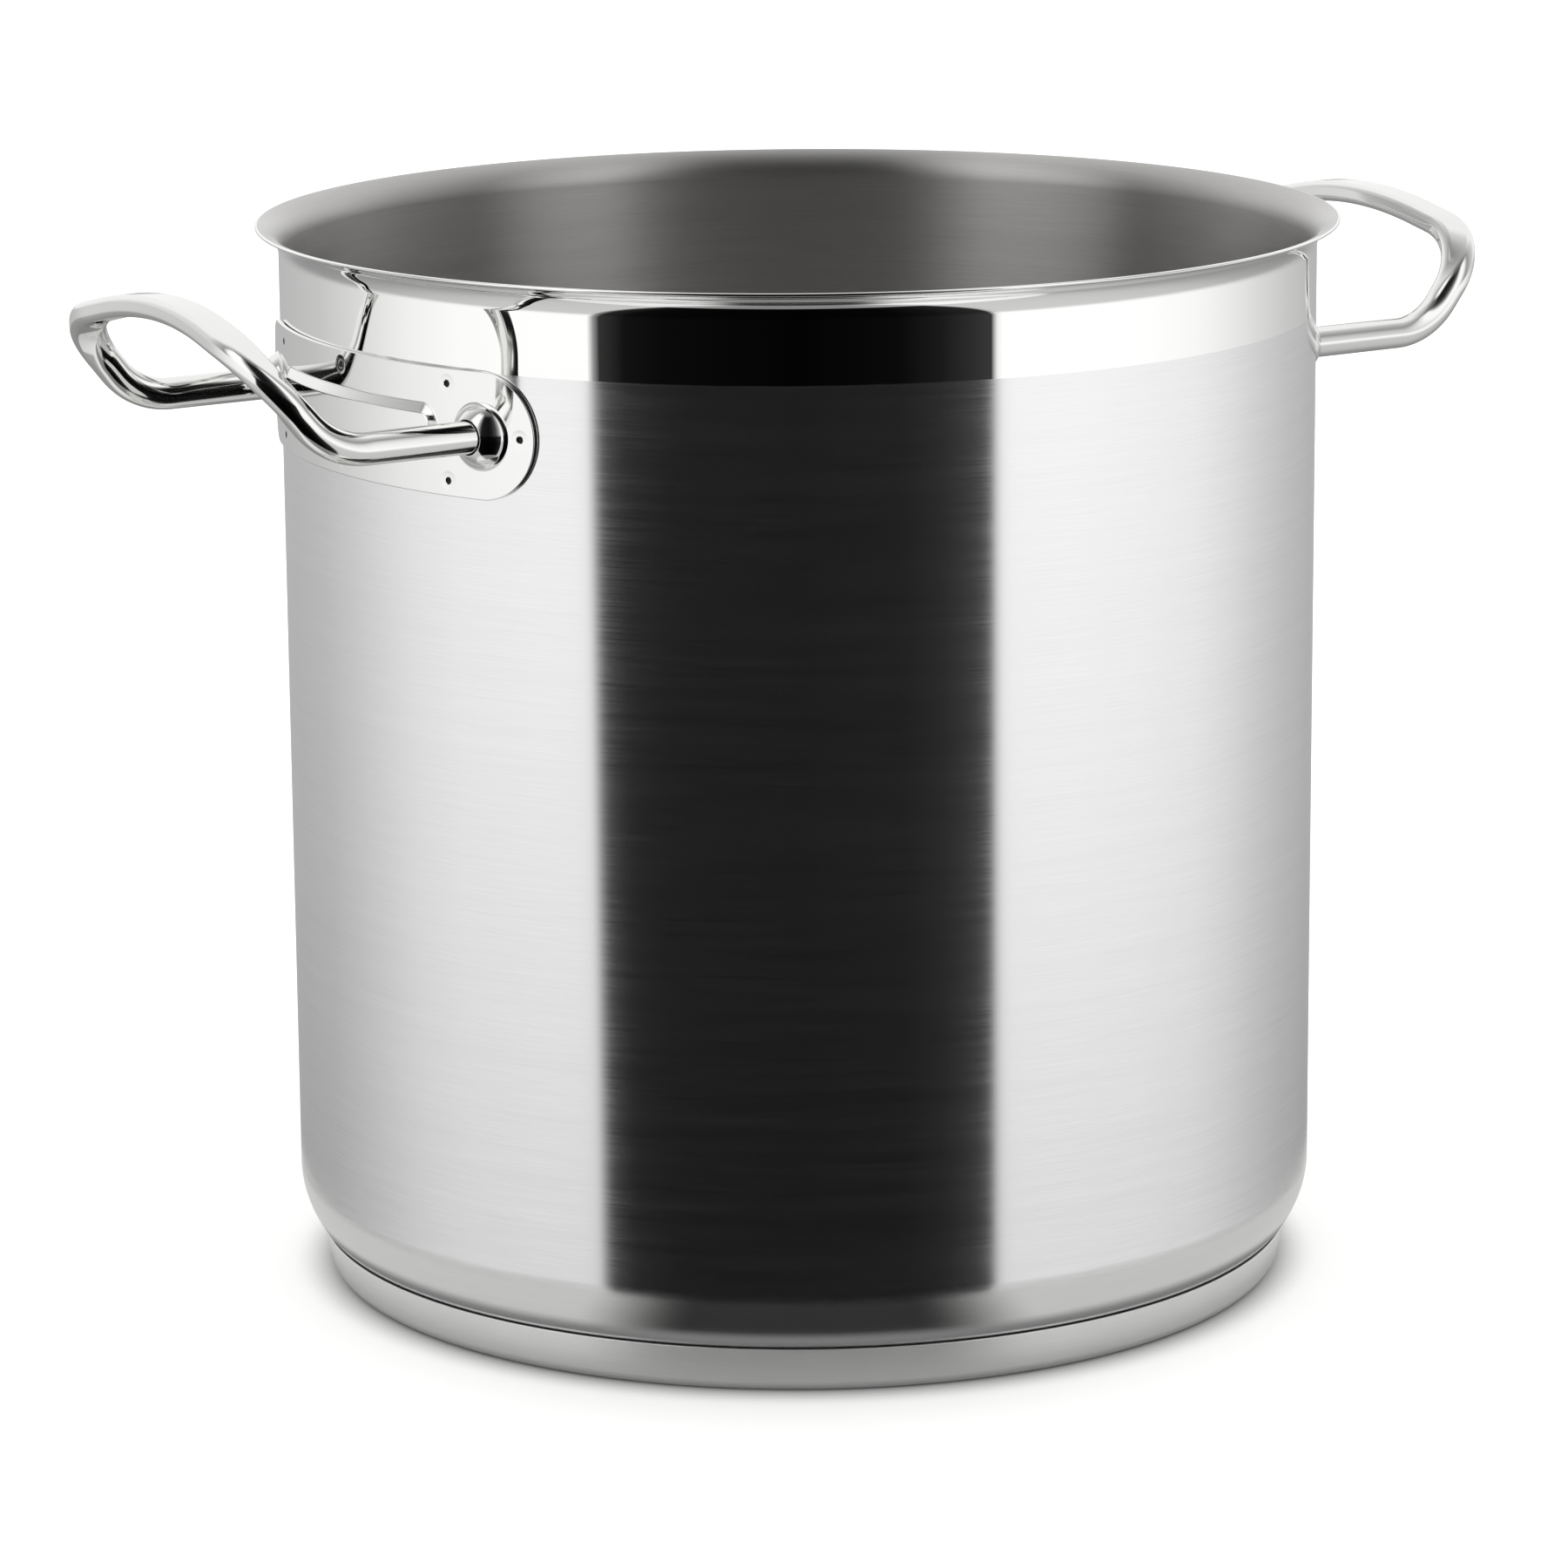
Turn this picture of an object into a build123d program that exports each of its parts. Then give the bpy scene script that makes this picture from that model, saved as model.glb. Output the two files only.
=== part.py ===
from build123d import *
from math import acos, asin, atan2, cos, degrees, pi, radians, sin, sqrt, tan
import os

# Deep stock pot in stainless steel, millimetres.
# Origin: centre of the base's underside. +Z up, handles on the X axis.

# ---- driving dimensions: pot ----
inner_diameter = 360.0        # nominal bore of the pot
wall = 1.2                    # drawn sheet, bottom and side
pot_height = 375.0            # underside of the base to the top of the lip
corner_radius = 32.0          # outside radius between the side and the bottom
lip_radius = 9.0              # outside radius of the rolled-out pouring lip
lip_angle = 80.0              # how far the lip turns away from the vertical wall

# ---- driving dimensions: sandwich base ----
core_thickness = 5.0          # aluminium between the pot and the cap
core_edge_height = 10.0       # how high the aluminium squeezes up round the corner
cap_wall = 0.8                # stainless cap that closes the base
cap_height = 16.0             # height of the cap's rim
cap_flare = 13.0              # lean of the cap's side, degrees from vertical
cap_corner_radius = 5.0       # outside radius at the cap's bottom edge
cap_rim_gap = 0.5             # open seam between the cap's rim and the pot

# ---- driving dimensions: handles ----
handle_drop = 52.0            # centre line of the legs below the top of the lip
leg_spacing = 138.0           # between the two legs of one handle
bar_diameter = 11.0           # round bar of the legs
bend_out = 43.8               # where the legs turn up, out from the pot's side
bend_radius = 28.0
bow_out = 69.3                # corners of the bow, out from the pot's side
corner_rise = 30.0            # corners of the bow above the legs
corner_inset = 3.0            # corners of the bow in from the legs
bow_radius = 26.0             # bend at each corner of the bow
top_out = 66.4                # where the grip's two sides would meet, out from the pot's side
top_rise = 45.0               # and above the legs
top_radius = 158.0            # long bend of the grip
flattening_length = 55.0      # from the leg's bend to the fully flattened grip
bend_gap = 4.0                # least straight bar between two bends
grip_width = 13.0             # flattened bar at the grip, side to side
grip_thickness = 7.6          # flattened bar at the grip, top to bottom
grip_corner = 2.6             # rounding of the grip's edges
leg_roundness = 0.48          # rounding of the legs' section, as a share of the bar
bar_end_gap = 0.6             # bar's end to the pot's wall
bar_hole_gap = 0.5            # all round, between the bar and the hole in the dome

# ---- driving dimensions: handle plates ----
plate_height = 42.8           # width of the strip, and diameter of its round ends
plate_thickness = 1.5
plate_gap = 0.4               # stand-off that the weld nuggets bridge
dome_margin = 6.3             # foot of the dome beyond the bar, all round
dome_rise = 6.6               # top of the dome above the plate's face
dome_foot = 2.0               # soft radius where the dome leaves the plate
panel_height = 17.6           # raised centre panel, at its foot
panel_land = 6.5              # flat strip between the panel's foot and each dome's foot
panel_rise = 1.6
panel_bevel = 3.2             # width of the sloping border
spot_edge = 5.2               # rows of spot welds in from the plate's long edges
spot_inset = 13.9             # outer spot welds of each row in from the middle of the dome
end_spot_inset = 5.6          # spot weld beyond each dome, in from the plate's end
nugget_diameter = 5.0
pit_diameter = 2.4            # dent that the electrode leaves in the plate
pit_depth = 0.5
bead_size = 2.2               # weld bead behind each dome, out from the bar
bead_length = 3.0             # and along it
bead_fit = 0.02               # between the bead's bore and the bar

# ---- derived sizes ----
inner_radius = inner_diameter / 2
outer_radius = inner_radius + wall
underside = cap_wall + core_thickness
corner_centre = (outer_radius - corner_radius, underside + corner_radius)
lip_start = pot_height - wall / 2 - (lip_radius + wall / 2) * sin(radians(lip_angle))
plate_back = outer_radius + plate_gap
plate_face = plate_back + plate_thickness
leg_side = leg_spacing / 2
handle_height = pot_height - handle_drop
bend_reach = outer_radius + bend_out
bow_reach = outer_radius + bow_out
top_reach = outer_radius + top_out
boss_angle = degrees(asin(leg_side / plate_face))
dome_radius = bar_diameter / 2 + dome_margin
leg_corner = leg_roundness * bar_diameter
plate_low = handle_height - plate_height / 2

os.makedirs("parts", exist_ok=True)


def save(piece, name):
    """Label a finished piece and write it."""
    piece.part.label = name
    export_step(piece.part, f"parts/{name}.step")


def save_pair(piece, name):
    """Write the right-hand piece and the same piece turned half way round the pot."""
    for side, turn in (("right", 0), ("left", 180)):
        with BuildPart() as placed:
            add(piece.part, rotation=(0, 0, turn))
        save(placed, f"{side}_{name}")


def lip_point(depth, angle):
    """Point on the lip, depth outwards from its outside face, angle degrees into the turn."""
    reach = lip_radius + depth
    return (
        outer_radius + lip_radius - reach * cos(radians(angle)),
        lip_start + reach * sin(radians(angle)),
    )


def corner_reach(height):
    """Radius of the pot's outside, at a height within its bottom corner."""
    return corner_centre[0] + sqrt(corner_radius**2 - (corner_centre[1] - height) ** 2)


# ---- pot body: one deep-drawn sheet, with a rounded bottom and a flared lip ----
lip_edge = (
    lip_point(wall / 2, lip_angle)[0] + wall / 2 * sin(radians(lip_angle)),
    lip_point(wall / 2, lip_angle)[1] + wall / 2 * cos(radians(lip_angle)),
)
with BuildPart() as pot_body:
    with BuildSketch(Plane.XZ):
        with BuildLine():
            Line((0, underside), (corner_centre[0], underside))
            JernArc((corner_centre[0], underside), (1, 0), corner_radius, 90)
            Line((outer_radius, corner_centre[1]), (outer_radius, lip_start))
            ThreePointArc(lip_point(0, 0), lip_point(0, lip_angle / 2), lip_point(0, lip_angle))
            ThreePointArc(lip_point(0, lip_angle), lip_edge, lip_point(wall, lip_angle))
            ThreePointArc(lip_point(wall, lip_angle), lip_point(wall, lip_angle / 2), lip_point(wall, 0))
            Line((inner_radius, lip_start), (inner_radius, corner_centre[1]))
            JernArc((inner_radius, corner_centre[1]), (0, -1), corner_radius - wall, -90)
            Line((corner_centre[0], underside + wall), (0, underside + wall))
            Line((0, underside + wall), (0, underside))
        make_face()
    revolve(axis=Axis.Z)
save(pot_body, "pot_body")

# ---- base cap: a shallow pressed dish, its rim a seam's width off the pot ----
rim_reach = corner_reach(cap_height) + cap_rim_gap + cap_wall
cap_slope = sin(radians(cap_flare)) / cos(radians(cap_flare))
cap_foot = rim_reach - cap_height * cap_slope
cap_side_inset = cap_wall / cos(radians(cap_flare))
with BuildPart() as base_cap:
    with BuildSketch(Plane.XZ):
        with BuildLine():
            Polyline((0, 0), (cap_foot, 0), (rim_reach, cap_height), (0, cap_height), close=True)
        make_face()
        fillet(vertices().sort_by(Axis.Y)[0:2].sort_by(Axis.X)[-1], cap_corner_radius)
    revolve(axis=Axis.Z)
    with BuildSketch(Plane.XZ):
        with BuildLine():
            Polyline(
                (0, cap_wall),
                (cap_foot + cap_wall * cap_slope - cap_side_inset, cap_wall),
                (rim_reach - cap_side_inset, cap_height),
                (0, cap_height),
                close=True,
            )
        make_face()
        fillet(vertices().sort_by(Axis.Y)[0:2].sort_by(Axis.X)[-1], cap_corner_radius - cap_wall)
    revolve(axis=Axis.Z, mode=Mode.SUBTRACT)
save(base_cap, "base_cap")

# ---- core disc: aluminium that fills the cap and wraps the start of the pot's corner ----
with BuildPart() as base_core_disc:
    with BuildSketch(Plane.XZ):
        with BuildLine():
            Polyline(
                (0, cap_wall),
                (cap_foot + cap_wall * cap_slope - cap_side_inset, cap_wall),
                (cap_foot + core_edge_height * cap_slope - cap_side_inset, core_edge_height),
                (0, core_edge_height),
                close=True,
            )
        make_face()
        fillet(vertices().sort_by(Axis.Y)[0:2].sort_by(Axis.X)[-1], cap_corner_radius - cap_wall)
    revolve(axis=Axis.Z)
    with BuildSketch(Plane.XZ):
        with BuildLine():
            Line((0, underside), (corner_centre[0], underside))
            JernArc((corner_centre[0], underside), (1, 0), corner_radius, 90)
            Line((outer_radius, corner_centre[1]), (0, corner_centre[1]))
            Line((0, corner_centre[1]), (0, underside))
        make_face()
    revolve(axis=Axis.Z, mode=Mode.SUBTRACT)
save(base_core_disc, "base_core_disc")

# ---- handle bar: two level legs, bent up and in to a raised, flattened grip ----
# The bar's end is cut square and stops short of the wall at its nearest corner.
end_side = leg_side - bar_diameter / 2
bar_start = sqrt((outer_radius + bar_end_gap) ** 2 - end_side**2)
leg_foot = Vector(bar_start, leg_side, handle_height)
leg_bend = Vector(bend_reach, leg_side, handle_height)
bow_corner = Vector(bow_reach, leg_side - corner_inset, handle_height + corner_rise)
bow_top = Vector(top_reach, 0, handle_height + top_rise)
near_half = [leg_foot, leg_bend, bow_corner]
far_half = [Vector(point.X, -point.Y, point.Z) for point in reversed(near_half)]
corners = [*near_half, bow_top, *far_half]
bends = [bend_radius, bow_radius, top_radius, bow_radius, bend_radius]

# Each bend takes up length on both sides of its corner, and is eased where a side is too short.
bend_takes = [0]
for before, corner, after, bend in zip(corners, corners[1:], corners[2:], bends):
    corner_turn = acos((corner - before).normalized().dot((after - corner).normalized()))
    bend_takes.append(bend * tan(corner_turn / 2))
bend_takes.append(0)
side_shares = []
for n, (corner, after) in enumerate(zip(corners, corners[1:])):
    room = (after - corner).length - bend_gap
    side_shares.append(min(1, room / (bend_takes[n] + bend_takes[n + 1])))
fitted_bends = [bend * min(side_shares[n], side_shares[n + 1]) for n, bend in enumerate(bends)]

with BuildLine() as bar_line:
    FilletPolyline(*corners, radius=fitted_bends)
bar_path = bar_line.wire()

# Sections across half of the bar, round at the leg and flattened at the grip.
section_count = 17


def flattening(reach_in):
    """0 on a leg, 1 along the grip, for a distance in from the leg's end of the bow."""
    share = min(1.0, max(0.0, reach_in / flattening_length))
    return share * share * (3 - 2 * share)


def bar_section(centre, along, share):
    """Sketch of the bar at a point of its centre line, with its wide side lying level."""
    width = bar_diameter + share * (grip_width - bar_diameter)
    thickness = bar_diameter + share * (grip_thickness - bar_diameter)
    corner = leg_corner + share * (grip_corner - leg_corner)
    level = Vector(0, 0, 1).cross(along)
    with BuildSketch(Plane(origin=centre, x_dir=level, z_dir=along)) as section:
        RectangleRounded(width, thickness, corner)
    return section.sketch


bar_length = bar_path.length
leg_length = bend_reach - bar_start
plain_leg = leg_length / 2
with BuildPart() as half_bar:
    for n in range(section_count):
        along = plain_leg + (bar_length / 2 - plain_leg) * n / (section_count - 1)
        place = along / bar_length
        add(bar_section(bar_path @ place, bar_path % place, flattening(along - leg_length)))
    loft()
    with BuildSketch(Plane(origin=leg_foot, z_dir=(1, 0, 0))):
        RectangleRounded(bar_diameter, bar_diameter, leg_corner)
    extrude(amount=plain_leg)
with BuildPart() as handle_bar:
    add(half_bar)
    mirror(about=Plane.XZ)
save_pair(handle_bar, "handle_bar")

# ---- handle plate: a strip that hugs the pot, with a raised panel and a dome for each leg ----
cut_reach = 2 * bow_reach
end_turn = degrees(plate_height / 2 / plate_face)
end_width = plate_face * sin(radians(boss_angle + end_turn)) - leg_side
panel_turn = boss_angle - degrees((dome_radius + panel_land) / plate_face)
dome_ball = (dome_radius**2 + dome_rise**2) / (2 * dome_rise) - dome_foot
spot_angle = boss_angle - degrees(spot_inset / plate_face)
end_spot_angle = boss_angle + end_turn - degrees(end_spot_inset / plate_face)
spot_row = plate_height / 2 - spot_edge
spots = [(angle, row) for angle in (-spot_angle, 0, spot_angle) for row in (spot_row, -spot_row)]
spots += [(-end_spot_angle, 0), (end_spot_angle, 0)]
pit_ball = ((pit_diameter / 2) ** 2 + pit_depth**2) / (2 * pit_depth)


def outward(angle):
    """Direction away from the pot's axis, at an angle round from the handle's middle."""
    return Vector(cos(radians(angle)), sin(radians(angle)), 0)


def raised_panel(back, skin):
    """Centre panel from a radius outwards, skin in from its outer faces, with sloping borders."""
    half_turn = panel_turn - degrees(skin / plate_face)
    half_height = panel_height / 2 - skin
    foot_radius = plate_face - skin
    face_radius = foot_radius + panel_rise
    start = outward(-half_turn)
    side_on = Plane(origin=(0, 0, handle_height), x_dir=start, z_dir=start.cross(Vector(0, 0, 1)))
    with BuildPart() as block:
        with BuildSketch(side_on):
            with BuildLine():
                Polyline(
                    (back, -half_height),
                    (foot_radius, -half_height),
                    (face_radius, panel_bevel - half_height),
                    (face_radius, half_height - panel_bevel),
                    (foot_radius, half_height),
                    (back, half_height),
                    close=True,
                )
            make_face()
        revolve(axis=Axis.Z, revolution_arc=2 * half_turn)
        face_turn = half_turn - degrees(panel_bevel / face_radius)
        end_slope = [(back, half_turn), (foot_radius, half_turn), (face_radius, face_turn)]
        end_slope.append((cut_reach, face_turn))
        corners = [outward(-turn) * reach for reach, turn in end_slope]
        corners += [outward(turn) * reach for reach, turn in reversed(end_slope)]
        with BuildSketch(Plane.XY.offset(plate_low)):
            with BuildLine():
                Polyline(*corners, close=True)
            make_face()
        extrude(amount=plate_height, mode=Mode.INTERSECT)
    return block.part


def dome(side, skin, floor):
    """Solid inside a dome's surface, skin in from its outer face, down to floor below the plate's."""
    radial = outward(side * boss_angle)
    ball = dome_ball - skin
    ball_centre = dome_rise - dome_ball
    foot = dome_foot + skin
    lean = atan2(dome_foot - ball_centre, dome_radius)
    seam = (ball * cos(lean), ball_centre + ball * sin(lean))
    ball_turn = (pi / 2 + lean) / 2
    foot_turn = lean / 2 + 5 * pi / 4
    plane = Plane(
        origin=radial * plate_face + Vector(0, 0, handle_height),
        x_dir=(0, 0, 1),
        z_dir=Vector(0, 0, 1).cross(radial),
    )
    with BuildPart() as solid:
        with BuildSketch(plane):
            with BuildLine():
                ThreePointArc(
                    (0, ball_centre + ball),
                    (ball * cos(ball_turn), ball_centre + ball * sin(ball_turn)),
                    seam,
                )
                ThreePointArc(
                    seam,
                    (dome_radius + foot * cos(foot_turn), dome_foot + foot * sin(foot_turn)),
                    (dome_radius, dome_foot - foot),
                )
                Line((dome_radius, dome_foot - foot), (dome_radius, floor))
                Line((dome_radius, floor), (0, floor))
                Line((0, floor), (0, ball_centre + ball))
            make_face()
        revolve(axis=Axis(plane.origin, radial))
    return solid.part


with BuildPart() as handle_plate:
    # Strip: a ring of sheet cut to a bar with round ends.
    with BuildSketch(Plane.YZ):
        with Locations((0, handle_height)):
            Rectangle(leg_spacing, plate_height)
        with Locations((leg_side, handle_height), (-leg_side, handle_height)):
            Ellipse(end_width, plate_height / 2)
    extrude(amount=cut_reach)
    with BuildSketch(Plane.XZ):
        with Locations(((plate_back + plate_face) / 2, handle_height)):
            Rectangle(plate_thickness, 2 * plate_height)
    revolve(axis=Axis.Z, mode=Mode.INTERSECT)
    # Centre panel, pressed out of the sheet.
    add(raised_panel(plate_back, 0))
    add(raised_panel(plate_back - plate_thickness, plate_thickness), mode=Mode.SUBTRACT)
    # Domes, hollow behind, each with a round hole on its leg's line.
    for side in (1, -1):
        add(dome(side, 0, -plate_thickness / 2))
    for side in (1, -1):
        add(dome(side, plate_thickness, -plate_thickness - plate_gap), mode=Mode.SUBTRACT)
        with BuildSketch(Plane(origin=(bar_start, side * leg_side, handle_height), z_dir=(1, 0, 0))):
            Circle(bar_diameter / 2 + bar_hole_gap)
        extrude(amount=bow_reach - bar_start, mode=Mode.SUBTRACT)
    # Dents that the electrodes leave.
    for angle, row in spots:
        dent = outward(angle) * (plate_face - pit_depth + pit_ball) + Vector(0, 0, handle_height + row)
        with Locations(dent):
            Sphere(pit_ball, mode=Mode.SUBTRACT)
save_pair(handle_plate, "handle_plate")

# ---- spot welds: the nuggets that hold each plate to the pot ----
with BuildPart() as spot_welds:
    for angle, row in spots:
        nugget = Vector(0, 0, handle_height + row)
        with BuildSketch(Plane(origin=nugget, x_dir=(0, 0, 1), z_dir=outward(angle))):
            Circle(nugget_diameter / 2)
        extrude(amount=cut_reach)
    with BuildSketch(Plane.XZ):
        with Locations(((outer_radius + plate_back) / 2, handle_height)):
            Rectangle(plate_gap, 2 * plate_height)
    revolve(axis=Axis.Z, mode=Mode.INTERSECT)
save_pair(spot_welds, "handle_spot_welds")

# ---- end welds: a bead inside each dome that joins the leg to the dome ----
bore_side = bar_diameter + 2 * bead_fit
with BuildPart() as end_welds:
    for side in (1, -1):
        with BuildSketch(Plane(origin=(bar_start, side * leg_side, handle_height), z_dir=(1, 0, 0))):
            Circle(bar_diameter / 2 + bead_size)
            RectangleRounded(bore_side, bore_side, leg_corner + bead_fit, mode=Mode.SUBTRACT)
        extrude(amount=bead_length)
    cavities = [dome(side, plate_thickness, -plate_thickness - plate_gap) for side in (1, -1)]
    add(cavities, mode=Mode.INTERSECT)
save_pair(end_welds, "handle_end_welds")
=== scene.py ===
import math

import bpy
from mathutils import Matrix, Vector, geometry


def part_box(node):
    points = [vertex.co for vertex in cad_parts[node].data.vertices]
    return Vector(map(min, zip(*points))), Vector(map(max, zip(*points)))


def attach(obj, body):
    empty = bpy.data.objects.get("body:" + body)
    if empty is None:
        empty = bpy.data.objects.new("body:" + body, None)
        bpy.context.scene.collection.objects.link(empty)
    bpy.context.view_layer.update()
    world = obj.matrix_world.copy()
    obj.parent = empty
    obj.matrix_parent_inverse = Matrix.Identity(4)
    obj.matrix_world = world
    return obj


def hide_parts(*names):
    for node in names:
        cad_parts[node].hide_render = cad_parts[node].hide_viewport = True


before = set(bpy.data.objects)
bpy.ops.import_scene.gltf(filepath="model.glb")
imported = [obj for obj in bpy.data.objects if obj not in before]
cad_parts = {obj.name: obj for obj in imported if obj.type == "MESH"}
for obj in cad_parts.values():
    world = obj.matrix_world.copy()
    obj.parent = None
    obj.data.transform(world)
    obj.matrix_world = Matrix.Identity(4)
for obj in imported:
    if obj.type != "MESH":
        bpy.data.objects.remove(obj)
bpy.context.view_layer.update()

# ---------------------------------------------------------------------------
# Pot body: one deep-drawn sheet of stainless steel, rounded at the bottom and
# spun out to a flared pouring lip. Brushed satin round the side and inside,
# polished bright in a band under the lip.
# ---------------------------------------------------------------------------
MM = 0.001
pot_low, pot_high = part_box("pot_body")
SHEET = 1.2 * MM
LIP_BEND = 9.0 * MM
LIP_TURN = 80
BOTTOM_BEND = 32.0 * MM
POLISHED_BAND = 31.2 * MM          # from the top of the lip down to the satin
STEPS_ROUND = 288

underside = pot_low[2]
pot_rim = pot_high[2]
lip_edge_reach = pot_high[1]
lip_side = LIP_BEND + SHEET / 2
side_reach = lip_edge_reach - SHEET / 2 - LIP_BEND + lip_side * math.cos(math.radians(LIP_TURN))
lip_start = pot_rim - SHEET / 2 - lip_side * math.sin(math.radians(LIP_TURN))
bend_reach, bend_height = side_reach - BOTTOM_BEND, underside + BOTTOM_BEND


def arc(centre, radius, start, end, steps, facing=1):
    """Points of a round in a turned outline, each with its direction out of the metal."""
    found = []
    for n in range(steps + 1):
        turn = math.radians(start + (end - start) * n / steps)
        way = (math.cos(turn), math.sin(turn))
        place = (centre[0] + radius * way[0], centre[1] + radius * way[1])
        found.append((place, (way[0] * facing, way[1] * facing)))
    return found


def turned(name, outline, finishes):
    """Turned piece from a closed outline that starts and ends on the axis, each point with its
    direction out of the metal. finishes gives (first point, material) in order."""
    rings = outline[1:-1]
    verts, normals, faces, slots = [], [], [], []
    for (reach, height), (out, up) in rings:
        for n in range(STEPS_ROUND):
            turn = 2 * math.pi * n / STEPS_ROUND
            c, s = math.cos(turn), math.sin(turn)
            verts.append((reach * c, reach * s, height))
            normals.append((out * c, out * s, up))
    first, last = len(verts), len(verts) + 1
    for (reach, height), (out, up) in (outline[0], outline[-1]):
        verts.append((0, 0, height))
        normals.append((0, 0, up))

    def slot_of(point):
        found = 0
        for n, (start, finish) in enumerate(finishes):
            if point >= start:
                found = n
        return found

    for n in range(STEPS_ROUND):
        after = (n + 1) % STEPS_ROUND
        faces.append((first, after, n))
        slots.append(slot_of(0))
        for ring in range(len(rings) - 1):
            low, high = ring * STEPS_ROUND, (ring + 1) * STEPS_ROUND
            faces.append((low + n, low + after, high + after, high + n))
            slots.append(slot_of(ring + 1))
        top = (len(rings) - 1) * STEPS_ROUND
        faces.append((top + n, top + after, last))
        slots.append(slot_of(len(rings)))
    return piece_from(name, verts, faces, normals, [finish for start, finish in finishes], slots)


def piece_from(name, verts, faces, normals, finishes, slots=None):
    """Object from points, faces and the true direction of the surface at each point."""
    mesh = bpy.data.meshes.new(name)
    mesh.from_pydata(verts, [], faces)
    for finish in finishes:
        mesh.materials.append(finish)
    if slots:
        mesh.polygons.foreach_set("material_index", slots)
    mesh.shade_smooth()
    mesh.normals_split_custom_set_from_vertices(normals)
    mesh.update()
    made = bpy.data.objects.new(name, mesh)
    bpy.context.scene.collection.objects.link(made)
    return made


def linear(colour):
    """sRGB hex as linear red, green, blue, alpha."""
    parts = [int(colour[n:n + 2], 16) / 255 for n in (1, 3, 5)]
    return tuple(p / 12.92 if p <= 0.04045 else ((p + 0.055) / 1.055) ** 2.4 for p in parts) + (1.0,)


def add_node(tree, kind, settings, links=()):
    """One node with its settings (attributes, or socket values by name or number) and its links in."""
    made = tree.nodes.new(kind)
    for key, value in settings.items():
        if isinstance(key, str) and hasattr(made, key):
            setattr(made, key, value)
        else:
            made.inputs[key].default_value = value
    for key, source in links:
        tree.links.new(source, made.inputs[key])
    return made


def new_finish(name):
    """An empty material: the finish, its node tree and its surface shader."""
    finish = bpy.data.materials.new(name)
    finish.use_nodes = True
    shader = finish.node_tree.nodes["Principled BSDF"]
    return finish, finish.node_tree, shader


# Brushed stainless steel: 18/10 sheet rubbed with fine grit while it turns, so the scratches run
# round the pot. It spreads light up and down into long soft streaks and keeps upright edges clear.
GRIT_LINE = 0.45 * MM              # scratches are about 0.1 mm apart, drawn coarser so they show
GRIT_LENGTH = 30 * MM


def brushed(name, dark, light, roughest, spread, depth, streak):
    finish, tree, shader = new_finish(name)
    place = add_node(tree, "ShaderNodeTexCoord", {})
    lines = add_node(
        tree, "ShaderNodeMapping",
        {"Scale": (1 / GRIT_LENGTH, 1 / GRIT_LENGTH, 1 / GRIT_LINE)},
        [("Vector", place.outputs["Object"])],
    )
    scratches = add_node(
        tree, "ShaderNodeTexNoise", {"Scale": 1.0, "Detail": 4.0, "Roughness": 0.65},
        [("Vector", lines.outputs["Vector"])],
    )
    wide = add_node(
        tree, "ShaderNodeMapping",
        {"Scale": (0.25 / GRIT_LENGTH, 0.25 / GRIT_LENGTH, 0.09 / GRIT_LINE)},
        [("Vector", place.outputs["Object"])],
    )
    passes = add_node(
        tree, "ShaderNodeTexNoise", {"Scale": 1.0, "Detail": 2.0},
        [("Vector", wide.outputs["Vector"])],
    )
    both = add_node(
        tree, "ShaderNodeMath", {"operation": "MULTIPLY_ADD", 1: 0.7},
        [(0, scratches.outputs["Fac"])],
    )
    share = add_node(
        tree, "ShaderNodeMath", {"operation": "MULTIPLY", 1: 0.3}, [(0, passes.outputs["Fac"])],
    )
    tree.links.new(share.outputs[0], both.inputs[2])
    tone = add_node(
        tree, "ShaderNodeMapRange", {"From Min": 0.3, "From Max": 0.7}, [("Value", both.outputs[0])],
    )
    colour = add_node(
        tree, "ShaderNodeMix", {"data_type": "RGBA", 6: linear(dark), 7: linear(light)},
        [(0, tone.outputs[0])],
    )
    rough = add_node(
        tree, "ShaderNodeMapRange",
        {"From Min": 0.3, "From Max": 0.7, "To Min": roughest - spread, "To Max": roughest},
        [("Value", both.outputs[0])],
    )
    relief = add_node(
        tree, "ShaderNodeBump", {"Strength": 0.5, "Distance": depth},
        [("Height", scratches.outputs["Fac"])],
    )
    round_it = add_node(tree, "ShaderNodeTangent", {"direction_type": "RADIAL", "axis": "Z"})
    shader.inputs["Metallic"].default_value = 1.0
    shader.inputs["Anisotropic"].default_value = streak
    shader.inputs["Anisotropic Rotation"].default_value = 0.25
    tree.links.new(colour.outputs[2], shader.inputs["Base Color"])
    tree.links.new(rough.outputs[0], shader.inputs["Roughness"])
    tree.links.new(relief.outputs[0], shader.inputs["Normal"])
    tree.links.new(round_it.outputs[0], shader.inputs["Tangent"])
    return finish


satin_side = brushed("brushed_stainless_side", "#e6e6e6", "#efefef", 0.17, 0.05, 0.0015 * MM, 0.75)
satin_inside = brushed("brushed_stainless_inside", "#b7b6b4", "#c6c5c3", 0.38, 0.06, 0.002 * MM, 1.0)


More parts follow.
